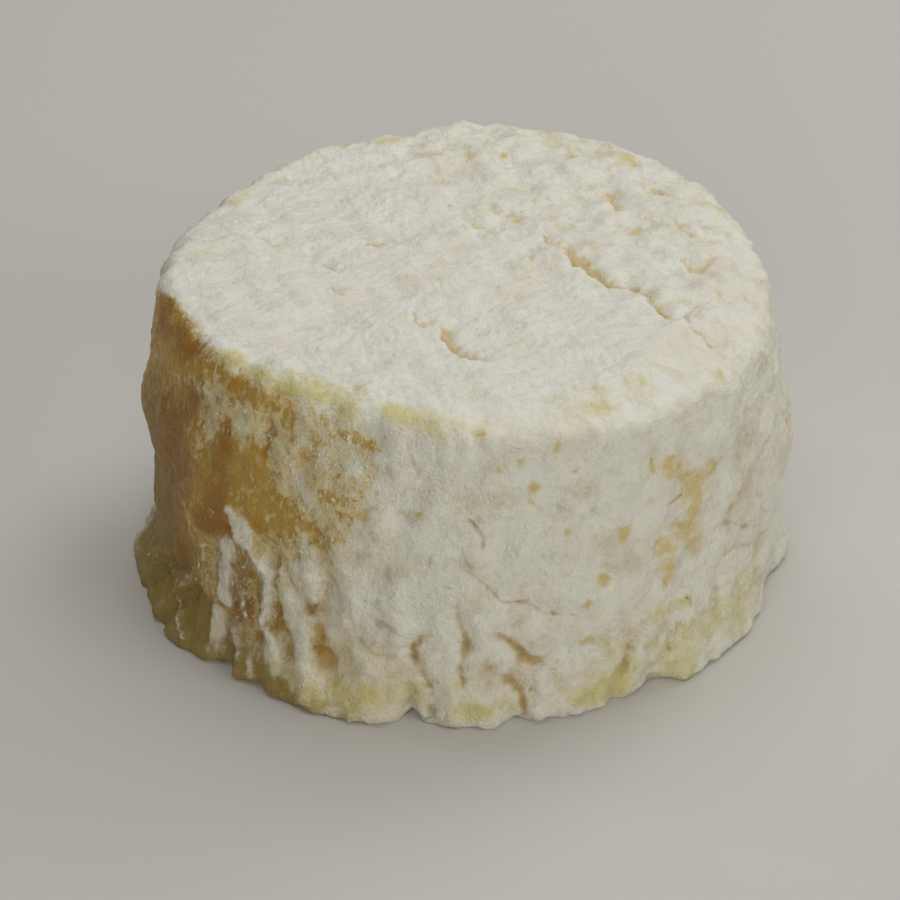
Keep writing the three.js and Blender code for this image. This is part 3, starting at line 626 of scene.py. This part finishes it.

# where the mould ends in grains, drawn with painted glints: angle, height, half width, half height
grains = [
    (-146.8, 39.6, 1.6, 1.6), (-143.6, 40.6, 1.4, 0.8), (-136.6, 41.2, 1.6, 0.9),
    (-130.5, 39.8, 0.8, 0.9), (-146, 35.4, 1, 1), (-143.6, 32.8, 0.8, 1.2), (-141.4, 31, 0.9, 0.8),
    (-133, 31.4, 0.5, 0.7), (-121.2, 38.8, 0.8, 1.6), (-125, 30, 0.8, 2.6), (-122.6, 28, 0.9, 1.2),
    (-117, 26.4, 2.6, 2.2), (-114.6, 24, 1.6, 1.6), (-120.6, 33.6, 1.6, 2.4), (-141.8, 20.4, 1.2, 1),
    (-141.6, 25.4, 0.4, 0.6), (-129.5, 20.4, 1.6, 1), (-118.5, 21.6, 2, 1.4),
    (-109.6, 37.9, 1.4, 0.8), (-133, 9, 0.8, 1.2), (-114, 29, 1.4, 2), (-126, 12, 0.7, 2.4),
]


def polygonDepth(outline, angle, level):
    # how deep each point lies inside an outline on the side, in mm, negative outside
    scale = math.radians(wheel["radius"])
    inside = np.zeros(len(angle), dtype=bool)
    edge = np.full(len(angle), 1e9)
    centre = outline[0][0]
    x = turnBetween(angle, centre) * scale
    corners = [((a - centre) * scale, up) for a, up in outline]
    for (ax, ay), (bx, by) in zip(corners, corners[1:] + corners[:1]):
        dx, dy = bx - ax, by - ay
        t = np.clip(((x - ax) * dx + (level - ay) * dy) / (dx * dx + dy * dy), 0, 1)
        edge = np.minimum(edge, np.hypot(x - ax - t * dx, level - ay - t * dy))
        if ay != by:
            crosses = ((ay > level) != (by > level)) & (x < ax + (level - ay) * dx / dy)
            inside ^= crosses
    return np.where(inside, edge, -edge)


def restMarks():
    # spots and coloured areas for the sides that the lists leave plain
    draw = makeDraw(613)
    someSpots = []
    for i in range(46):
        angle = -12 + 190 * draw()
        someSpots.append((angle, 3 + 34 * draw(), 0.3 + 0.7 * draw(), 0.3 + 0.8 * draw()))
    someAreas = {"green": [], "pale": [], "beige": []}
    for i in range(13):                     # at the foot
        angle = -6 + 180 * (i + 0.6 * draw()) / 13
        level, wide, tall = 1 + 3 * draw(), 2 + 3 * draw(), 1 + 1.8 * draw()
        someAreas["green"].append((angle, level, wide, tall, 0.5 + 0.6 * draw()))
    for i in range(12):                     # at the rim
        angle = -10 + 190 * draw()
        level, wide, tall = 41 + 4 * draw(), 2 + 4 * draw(), 1 + 1.5 * draw()
        someAreas["green"].append((angle, level, wide, tall, 0.3 + 0.4 * draw()))
    for i in range(26):
        area = (-12 + 200 * draw(), 4 + 32 * draw(), 2 + 4 * draw(), 2 + 3 * draw(), 0.7)
        someAreas["pale" if i % 2 else "beige"].append(area)
    return someSpots, someAreas


def swell(name, points):
    seed, count, shortest, longest, high, *stretch = swells[name]
    return high * waveField(points, seed, count, shortest, longest, *stretch)


def addAttribute(data, name, values):
    layer = data.attributes.new(name, "FLOAT", "POINT")
    layer.data.foreach_set("value", np.asarray(values, dtype=np.float32))


def readPoints(data, what):
    values = np.empty(len(data.vertices) * 3)
    data.vertices.foreach_get(what, values)
    return values.reshape(-1, 3)


def makeCheese():
    data = makeBlank()
    blank = readPoints(data, "co")
    blankRadius = np.hypot(blank[:, 0], blank[:, 1])
    angle = np.degrees(np.arctan2(blank[:, 1], blank[:, 0]))
    level = blank[:, 2]
    rim = wheel["rimRound"]
    onSide = ease((blankRadius - (wheel["radius"] - rim)) / rim)
    onTop = ease((level - (wheel["height"] - rim)) / rim)
    underneath = level < 0.001
    # height measured on over the rim, and on under the foot below 0
    reach = np.where(underneath, blankRadius - wheel["radius"], level + wheel["radius"] - blankRadius)
    scale = math.radians(wheel["radius"])

    def fromSide(p):
        return turnBetween(p[0], angle) * scale, p[1] - reach

    def fromTop(p):
        return p[0] - blank[:, 0], p[1] - blank[:, 1]

    def blot(at, up, wide, tall):
        across, rise = fromSide((at, up))
        return np.exp(-(across / wide) ** 2 - (rise / tall) ** 2)

    points = broadForm(blank, angle, level, blankRadius, onSide, onTop)
    names = list(areas) + ["hollow", "crease", "grain", "lineShare"]
    marks = {name: np.zeros(len(blank)) for name in names}
    print("solid's form repeated")

    # folds move straight out from the middle, as in the solid
    relief = np.zeros(len(blank))
    broken = np.clip(1 + swell("foldLumps", blank), 0.1, 1.9)
    sway = swell("sway", blank)
    calm = sum(np.exp(-(turnBetween(angle, at) / wide) ** 4) for at, wide in fine["calm"])
    for path, wide, far, tint in sideFolds + restFolds():
        start = path[0][0]
        share, swayShare, tintShare, breakUp = next(s[1:] for s in fine["foldShares"] if start < s[0])
        near = np.abs(nearPath(path, fromSide) + sway * swayShare)
        uneven = 1 + breakUp * (broken - 1)
        if start > fine["leftAngle"]:
            uneven = uneven * (1 - fine["calmFolds"] * calm)
        relief += share * far * uneven * bell(near / wide)
        name = "white" if far > 0 else "hollow"
        marks[name] += tint * uneven * bell(near / wide / tintShare) * onSide
    turn = np.radians(angle)
    points += np.stack([np.cos(turn), np.sin(turn), 0 * turn], 1) * (relief * onSide)[:, None]
    middle = (points.min(0) + points.max(0)) / 2
    middle[2] = 0
    print("middle of the outline", middle.round(3))

    data.vertices.foreach_set("co", points.ravel())
    data.update()
    normals = readPoints(data, "normal")

    # creases of the top
    detail = np.full(len(blank), -fine["sink"])
    wobble = swell("wobble", blank)
    beadAt, beadWide, beadHigh = fine["bead"]
    tintAt, tintWide = fine["creaseTint"]
    for path, slope, deep, tint in topCreases:
        side = nearPath(path, fromTop) + wobble
        near = bell(side / np.where(side < 0, fine["lip"], slope))
        raised = beadHigh * bell((side + beadAt) / beadWide)
        detail += deep * (raised - near) * onTop
        marks["crease"] += tint * bell((side / slope - tintAt) / tintWide) * onTop

    # swells, lumps, wrinkles and pleats of the rind
    detail += swell("softSwell", blank) * onSide
    right, back, start, wide = fine["farRight"]
    farRight = ease((blank[:, 0] * right + blank[:, 1] * back - start) / wide) * onTop
    lump = swell("lump", blank)
    high, more = fine["lumpHigh"]
    detail += (high + more * farRight) * lump
    # crease colour in the lowest parts of the lumps: partly ochre, partly painted shadow
    low, more = fine["lumpTint"]
    marks["crease"] += np.clip(-lump - 0.5, 0, 1) * (low + more * farRight)
    crumpled = np.clip(0.5 + swell("crumple", blank), 0, 1)
    bend = np.stack([waveField(blank, seed, *fine["bends"]) for seed in (31, 32, 33)], 1)
    furrow = bell(swell("wrinkle", blank + fine["wrinkleBend"] * bend) / fine["wrinkleWide"])
    deep, more = fine["wrinkleDeep"]
    detail -= (deep + more * farRight * crumpled) * furrow
    # crease colour in the far-right wrinkles: partly ochre, partly painted shadow
    inThem, between = fine["wrinkleTint"]
    marks["crease"] += inThem * farRight * crumpled * furrow
    marks["beige"] += between * farRight * (1 - crumpled)
    detail += swell("crinkle", blank)
    calmed = 1 - fine["calmPleats"] * calm
    pleatShare = onSide * ease((fine["pleatTop"] - level) / fine["pleatFade"]) * calmed
    pleat = swell("pleat", blank + fine["pleatBend"] * bend)
    detail += fine["pleatHigh"] * pleat * pleatShare
    strength, least = fine["pleatTint"]
    marks["hollow"] += np.clip(-strength * pleat - least, 0, 1) * pleatShare
    detail += swell("edge", blank) * onSide * bell(level / fine["edgeTall"]) * calmed

    onRidge = np.clip(marks["white"], 0, 1) * ease((fine["leftAngle"] - angle) / 4)
    someSpots, someAreas = restMarks()
    for name, places in list(areas.items()) + list(someAreas.items()):
        for *place, strength in places:
            marks[name] += strength * blot(*place)

    # the bare patch
    outer = np.maximum.reduce([polygonDepth(line, angle, reach) for line in bareOutlines])
    core = np.maximum.reduce([polygonDepth(line, angle, reach) for line in bareCores])
    within = ease(outer / patch["edgeWide"] + 0.6)
    inCore = ease(core / patch["coreWide"] + 0.5)
    nearCore = ease(core / patch["nearCoreWide"] + 1)
    slanted = turnBetween(angle, -90) * scale + fine["skinSlant"] * level
    skin = swell("skin", np.stack([slanted, 0 * level, level], 1))
    skin = bell(skin / fine["skinWide"]) * within * (1 - inCore)
    detail += fine["skinHigh"] * skin - fine["skinSink"] * within
    bare = patch["broken"] + patch["nearCore"] * nearCore + patch["core"] * inCore - patch["skin"] * skin
    bare = bare * within - patch["outside"] * (1 - within)
    streaks = np.zeros(len(blank))
    for path, wide in whiteStreaks:
        near = nearPath(path, fromSide) + fine["edgeSway"] * sway
        streaks = np.maximum(streaks, bell(near / wide) * np.clip(broken, 0, 1.2))
    detail += fine["streakHigh"] * streaks * onSide
    bare = bare - patch["streaks"] * streaks - patch["ridges"] * np.clip(marks["white"], 0, 1)
    leftOfRidges = ease((fine["leftAngle"] - patch["warmFrom"] - angle) / patch["warmFade"])
    marks["warm"] += patch["warm"] * within * leftOfRidges
    for *place, strength in thinRind:
        bare = bare + strength * blot(*place)
    detail = detail * (1 - fine["pasteSmooth"] * ease(core / patch["coreWide"]))

    for place in grains:
        marks["grain"] = np.maximum(marks["grain"], blot(*place))
    rimGrain = np.maximum(patch["ridgeGrain"] * onRidge, patch["brokenGrain"] * within * (1 - inCore))
    marks["grain"] = np.maximum(marks["grain"], rimGrain)

    # spots: 1 in the middle, 0 at the edge
    spot = np.full(len(blank), -1.0)
    drift = swell("drift", blank)
    for at, up, wide, tall in spots + someSpots:
        across, rise = fromSide((at, up))
        across, rise = across + fine["edgeSway"] * sway, rise + drift
        spot = np.maximum(spot, np.where(onTop < 0.9, 1 - np.hypot(across / wide, rise / tall), -1))
    for x, y, wide, tall in topSpots:
        across, rise = fromTop((x, y))
        spot = np.maximum(spot, np.where(onTop > 0.5, 1 - np.hypot(across / wide, rise / tall), -1))
    detail -= fine["spotDeep"] * np.clip(spot, 0, 1)

    # thin lines: distance in half widths of the line
    line = np.full(len(blank), 9.0)                         # 9 is far off
    for offset, shown, place in ((fromSide, onSide, "side"), (fromTop, onTop, "top")):
        for path, wide, strength in thinLines[place]:
            side = np.where(shown > 0.5, nearPath(path, offset) / wide, 9)
            closer = np.abs(side) < np.abs(line)
            marks["lineShare"] = np.where(closer, strength, marks["lineShare"])
            line = np.where(closer, side, line)
            groove = bell(side * wide / (fine["lineWide"] + wide))
            detail -= fine["lineDeep"] * strength * np.sqrt(wide) * groove
    marks["lineShare"] *= bell(line / 5)                    # gone a few half widths away

    detail[underneath] = 0
    points = points + normals * detail[:, None]
    points[:, 2] = np.maximum(points[:, 2], 0)
    points -= middle
    low, high = (np.array(corner) / mm for corner in cadBox)
    points = np.clip(points, low + 0.01, high - 0.01)   # nothing stands outside the solid's box
    points[underneath, 2] = 0
    data.vertices.foreach_set("co", (points * mm).ravel())
    data.update()
    addAttribute(data, "lineShare", marks.pop("lineShare"))
    for name, values in marks.items():
        values = np.clip(values, 0, 1.2)
        values = values - 0.35 * np.exp(-values / 0.1)      # no pattern shows without its mark
        addAttribute(data, name, values)
    sideEnds, sideFades = fine["sideTint"]
    side = ease((sideEnds - reach) / sideFades)
    for name, values in (("bare", bare), ("spot", spot), ("line", line), ("onTop", onTop), ("side", side)):
        addAttribute(data, name, values)
    for polygon in data.polygons:
        polygon.use_smooth = True
    cheese = bpy.data.objects.new("rindedCheese", data)
    bpy.context.scene.collection.objects.link(cheese)
    return cheese, middle


def linear(hexColour):
    parts = [int(hexColour[i:i + 2], 16) / 255 for i in (1, 3, 5)]
    return tuple(c / 12.92 if c <= 0.04045 else ((c + 0.055) / 1.055) ** 2.4 for c in parts) + (1,)


def addNode(tree, kind, inputs, out=0, **settings):
    # inputs: a number, colour or another node's output for each socket, by name or number.
    # Gives back the node's output called out.
    node = tree.nodes.new("ShaderNode" + kind)
    for name, value in settings.items():
        setattr(node, name, value)
    for name, value in inputs.items():
        if isinstance(value, bpy.types.NodeSocket):
            tree.links.new(value, node.inputs[name])
        else:
            node.inputs[name].default_value = value
    return node.outputs[out]


def newMaterial(name):
    material = bpy.data.materials.new(name)
    material.use_nodes = True
    tree = material.node_tree
    tree.nodes.clear()
    shader = tree.nodes.new("ShaderNodeBsdfPrincipled")
    output = tree.nodes.new("ShaderNodeOutputMaterial")
    tree.links.new(shader.outputs[0], output.inputs[0])
    return material, tree, shader


rind = {
    "white": "#ecebdf",
    "roughness": 0.8,
    "bareRoughness": 0.4,
    "granuleRoughness": 0.25,
    "depth": 1.2,             # how far light travels inside, in mm
    "grainHigh": 0.25,        # bump of the mould's fluff, in mm
    # patterns of patches: size in mm, stretch up the side, octaves
    "patterns": {
        "broad": (7.0, 1.0, 2.0), "medium": (2.4, 1.0, 3.0), "small": (0.9, 1.3, 3.0),
        "upright": (1.3, 2.2, 3.0), "grainy": (0.42, 1.0, 2.0), "streaky": (0.55, 6.0, 2.0),
        "beaded": (0.45, 2.2, 2.0),
    },
    # layers of colour over the white, in order: attribute (or none), pattern, how much the
    # pattern breaks the edge, where the colour starts and is full, its strength, the colour
    "layers": [
        ("side", "broad", 0.6, 0.2, 0.8, 0.9, "#eeebda"),
        ("warm", "medium", 0.8, 0.1, 1.0, 0.85, "#dcc886"),
        ("", "broad", 1.0, -0.04, 0.16, 0.4, "#e9ddcb"),
        ("", "medium", 1.0, 0.0, 0.2, 0.4, "#e0d7bd"),
        ("", "medium", -1.0, 0.0, 0.2, 0.35, "#e9ecdf"),
        ("pale", "medium", 1.2, 0.25, 0.95, 0.7, "#eeefe2"),
        ("beige", "medium", 1.4, 0.25, 0.95, 0.6, "#dccfb2"),
        ("", "small", 1.0, 0.02, 0.2, 0.26, "#d6caaa"),
        ("tan", "upright", 1.4, 0.1, 0.95, 0.9, "#98722e"),
        # crease colour: ochre of the creases, with painted shadow in the lump hollows and far-right
        # wrinkles
        ("crease", "small", 1.2, 0.15, 0.95, 0.75, "#d8bd7e"),
        ("hollow", "small", 1.2, 0.1, 1.0, 0.6, "#c69d3e"),
        ("bare", "medium", 1.0, 0.0, 0.5, 0.85, "#dfcc98"),
        ("bare", "small", 2.0, 0.35, 0.9, 0.95, "#be9740"),
        ("bare", "streaky", -1.2, 0.75, 1.3, 0.4, "#d0ac5c"),
        ("deep", "medium", 0.8, 0.05, 1.0, 0.85, "#985f16"),
        # thin bloom over the paste, darker brown on the far left as painted shade
        ("filmAndShade", "streaky", 1.4, 0.1, 1.0, 0.9, "#8c6430"),
        # olive paste, darker at the foot as painted shade
        ("oliveAndShade", "medium", 1.2, 0.1, 0.9, 0.9, "#9a8140"),
        ("white", "small", 1.6, 0.05, 1.0, 0.9, "#f1ecd9"),
        ("green", "medium", 1.5, 0.15, 1.1, 0.75, "#d8cd84"),
        ("spot", "small", 1.5, -0.7, 0.85, 0.78, "#d9c070"),
    ],
    "edgeGrain": 0.5,         # how much the finest grain frays the edge of every layer
    "line": "#a98a3a",
    "lineFray": 2.0,
    "lineWide": 2.4,
    # granule colour: partly the pale mould grains, partly painted glints of light on them
    "granuleGlint": "#fffbe0",
    "granuleFray": 3.0,
    "speck": "#6b6348",
    "speckApart": 6.25,       # in mm
    "sheen": "#ffe6c0",       # the fat gives the highlights a warm tint
    "strokeLong": 3.6,        # faint strokes across the top, in mm
    "strokeWide": 0.6,
    "strokeTurn": 18,
    # how much each pattern adds to the bump, beside the fine grain
    "strokeBump": 0.4,
    "smallBump": 0.8,
    "filmBump": 2.2,
    "granuleBump": 0.8,
    "mattBump": (0.45, 1.2),  # in smoother and in fluffier patches
    "sideBump": 1.7,          # the side is fluffier than the top
    "bareBump": 1.1,
    "subsurface": 0.4,
    "subsurfaceRadius": (0.9, 0.8, 0.45),
}


def rindMaterial():
    # white mould on a soft paste: dry and matt, fluffy up close, waxy and amber where it is bare
    material, tree, shader = newMaterial("white mould rind")
    place = addNode(tree, "TexCoord", {}, out="Object")
    placeMm = addNode(tree, "Mapping", {"Vector": place, "Scale": (1000, 1000, 1000)})
    patterns = {}
    for i, (name, (size, stretch, octaves)) in enumerate(rind["patterns"].items()):
        where = addNode(tree, "Mapping", {
            "Vector": placeMm, "Location": (13.7 * i, 5.1 * i, 3.3 * i),
            "Scale": (1 / size, 1 / size, 1 / size / stretch)})
        noise = addNode(tree, "TexNoise", {
            "Vector": where, "Scale": 1.0, "Detail": octaves, "Roughness": 0.6})
        patterns[name] = addNode(tree, "Math", {0: noise, 1: 0.5}, operation="SUBTRACT")

    masks = {}
    layers = []
    for name, pattern, breakUp, start, full, strength, tone in rind["layers"]:
        mark = 0.0
        if name:
            mark = addNode(tree, "Attribute", {}, out="Fac", attribute_name=name)
            mark = addNode(tree, "Math", {0: patterns["grainy"], 1: rind["edgeGrain"], 2: mark},
                           operation="MULTIPLY_ADD")
        value = addNode(tree, "Math", {0: patterns[pattern], 1: breakUp, 2: mark},
                        operation="MULTIPLY_ADD")
        mask = addNode(tree, "MapRange", {
            "Value": value, "From Min": start, "From Max": full, "To Max": strength},
            interpolation_type="SMOOTHSTEP")
        if name in ("deep", "filmAndShade"):         # only where the paste is bare
            mask = addNode(tree, "Math", {0: mask, 1: masks["bare"]}, operation="MULTIPLY")
        masks.setdefault(name, mask)
        layers.append((mask, tone))

    marks = {}
    for name in ("line", "lineShare", "grain", "onTop"):
        marks[name] = addNode(tree, "Attribute", {}, out="Fac", attribute_name=name)

    # thin brown lines at the bottom of the creases, faded in and out along them
    faded = addNode(tree, "MapRange", {
        "Value": patterns["medium"], "From Min": -0.15, "From Max": 0.15, "To Min": 0.1, "To Max": 1.0})
    share = addNode(tree, "Math", {0: marks["lineShare"], 1: faded}, operation="MULTIPLY")
    line = addNode(tree, "Math", {0: patterns["small"], 1: rind["lineFray"], 2: marks["line"]},
                   operation="MULTIPLY_ADD")
    line = addNode(tree, "Math", {0: line}, operation="ABSOLUTE")
    line = addNode(tree, "MapRange", {"Value": line, "From Min": rind["lineWide"], "From Max": 0.0},
                   interpolation_type="SMOOTHSTEP")
    line = addNode(tree, "Math", {0: line, 1: share}, operation="MULTIPLY")
    layers.append((line, rind["line"]))

    # granules of mould in patches, near white as the pale mould with painted glints on it. Real ones are
    # about 0.2 mm across, too fine to show, so they are drawn at about 0.3 mm
    granuleGlint = addNode(tree, "MapRange", {"Value": patterns["beaded"], "From Min": 0.05, "From Max": 0.14})
    share = addNode(tree, "Math", {0: patterns["small"], 1: rind["granuleFray"], 2: marks["grain"]},
                    operation="MULTIPLY_ADD")
    share = addNode(tree, "MapRange", {"Value": share, "From Min": 0.35, "From Max": 0.8})
    granuleGlint = addNode(tree, "Math", {0: granuleGlint, 1: share}, operation="MULTIPLY")
    layers.append((granuleGlint, rind["granuleGlint"]))

    # a few dark specks, about 0.25 mm across
    speck = addNode(tree, "TexVoronoi", {"Vector": placeMm, "Scale": 1 / rind["speckApart"]})
    speck = addNode(tree, "MapRange", {"Value": speck, "From Min": 0.03, "From Max": 0.015, "To Max": 0.7})
    layers.append((speck, rind["speck"]))

    colour = linear(rind["white"])
    for share, tone in layers:
        colour = addNode(tree, "Mix", {0: share, 6: colour, 7: linear(tone)}, out=2, data_type="RGBA")
    tree.links.new(colour, shader.inputs["Base Color"])
    rough = addNode(tree, "Mix", {0: masks["bare"], 2: rind["roughness"], 3: rind["bareRoughness"]})
    rough = addNode(tree, "Mix", {0: granuleGlint, 2: rough, 3: rind["granuleRoughness"]})
    tree.links.new(rough, shader.inputs["Roughness"])

    # the fluff: strokes, fine grains and small lumps, more on the side, less on the bare paste
    strokesAt = addNode(tree, "Mapping", {
        "Vector": placeMm, "Rotation": (0, 0, math.radians(rind["strokeTurn"])),
        "Scale": (rind["strokeLong"], rind["strokeWide"], 1)}, vector_type="TEXTURE")
    strokes = addNode(tree, "TexNoise", {"Vector": strokesAt, "Scale": 1.0, "Detail": 2.0})
    strokes = addNode(tree, "Math", {0: strokes, 1: marks["onTop"]}, operation="MULTIPLY")
    low, high = rind["mattBump"]
    matt = addNode(tree, "MapRange", {
        "Value": patterns["medium"], "From Min": -0.2, "From Max": 0.2, "To Min": low, "To Max": high})
    fluff = addNode(tree, "MapRange", {"Value": marks["onTop"], "To Min": rind["sideBump"], "To Max": 1.0})
    fluff = addNode(tree, "Mix", {0: masks["bare"], 2: fluff, 3: rind["bareBump"]})
    filmAndShade = addNode(tree, "Math", {0: patterns["streaky"], 1: masks["filmAndShade"]}, operation="MULTIPLY")
    height = patterns["grainy"]
    for part, share in (
            (strokes, rind["strokeBump"]), (patterns["small"], rind["smallBump"]), (matt, None),
            (fluff, None), (filmAndShade, rind["filmBump"]), (granuleGlint, rind["granuleBump"])):
        if share is None:
            height = addNode(tree, "Math", {0: height, 1: part}, operation="MULTIPLY")
        else:
            height = addNode(tree, "Math", {0: part, 1: share, 2: height}, operation="MULTIPLY_ADD")
    bump = addNode(tree, "Bump", {
        "Height": height, "Strength": 1.0, "Distance": rind["grainHigh"] * mm})
    tree.links.new(bump, shader.inputs["Normal"])
    shader.inputs["Specular Tint"].default_value = linear(rind["sheen"])
    shader.inputs["Subsurface Weight"].default_value = rind["subsurface"]
    shader.inputs["Subsurface Radius"].default_value = rind["subsurfaceRadius"]
    shader.inputs["Subsurface Scale"].default_value = rind["depth"] * mm
    return material


stage = {
    "floorColour": "#d3d0c9",
    "floorSize": 1.6,         # in metres
    "floorRoughness": 0.9,
    "worldColour": "#efe6d8",
    "worldStrength": 0.02,
    # white lamps: name, where it stands in metres, size, watts
    "lamps": [
        ("overhead", (0.03, 0.14, 0.6), 0.6, 1.93), ("backRight", (0.35, 0.35, 0.35), 0.3, 0.7),
        ("backLeft", (-0.45, 0.2, 0.3), 0.06, 0.12), ("frontRight", (0.48, -0.42, 0.3), 0.4, 1.12),
        ("front", (-0.1, -0.6, 0.3), 0.4, 1.08),
    ],
    "lampsPoint": (0, 0, 0.02),
}

camera = {
    "elevation": 31,          # in degrees
    "distance": 590,
    "target": (-1.2, 0, 14.6),
    "lens": 192,
    "sensor": 36,
}


def makeStage():
    bm = bmesh.new()
    bmesh.ops.create_grid(bm, x_segments=1, y_segments=1, size=stage["floorSize"] / 2)
    data = bpy.data.meshes.new("floor")
    bm.to_mesh(data)
    bm.free()
    floor = bpy.data.objects.new("floor", data)
    bpy.context.scene.collection.objects.link(floor)
    material, tree, shader = newMaterial("matt studio board")
    shader.inputs["Base Color"].default_value = linear(stage["floorColour"])
    shader.inputs["Roughness"].default_value = stage["floorRoughness"]
    data.materials.append(material)

    world = bpy.data.worlds.new("studio")
    world.use_nodes = True
    background = world.node_tree.nodes["Background"]
    background.inputs["Color"].default_value = linear(stage["worldColour"])
    background.inputs["Strength"].default_value = stage["worldStrength"]
    bpy.context.scene.world = world
    for name, place, size, power in stage["lamps"]:
        light = bpy.data.lights.new(name, "AREA")
        light.size = size
        light.energy = power
        lamp = bpy.data.objects.new(name, light)
        lamp.location = place
        way = Vector(stage["lampsPoint"]) - Vector(place)
        lamp.rotation_euler = way.to_track_quat("-Z", "Y").to_euler()
        bpy.context.scene.collection.objects.link(lamp)
    bpy.context.scene.view_settings.view_transform = "Standard"


def makeCamera(middle):
    data = bpy.data.cameras.new("camera")
    data.lens = camera["lens"]
    data.sensor_width = camera["sensor"]
    data.clip_end = 20
    eye = bpy.data.objects.new("camera", data)
    lift = math.radians(camera["elevation"])
    target = Vector(camera["target"]) - Vector(middle)
    back = Vector((0, -math.cos(lift), math.sin(lift)))
    eye.location = (target + back * camera["distance"]) * mm
    eye.rotation_euler = (-back).to_track_quat("-Z", "Y").to_euler()
    bpy.context.scene.collection.objects.link(eye)
    bpy.context.scene.camera = eye


makeStage()
cheese, middle = makeCheese()
makeCamera(middle)
cheese.data.materials.append(rindMaterial())
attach(cheese, "root")
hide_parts("cheese_wheel")
print("cheese made,", len(cheese.data.polygons), "faces")
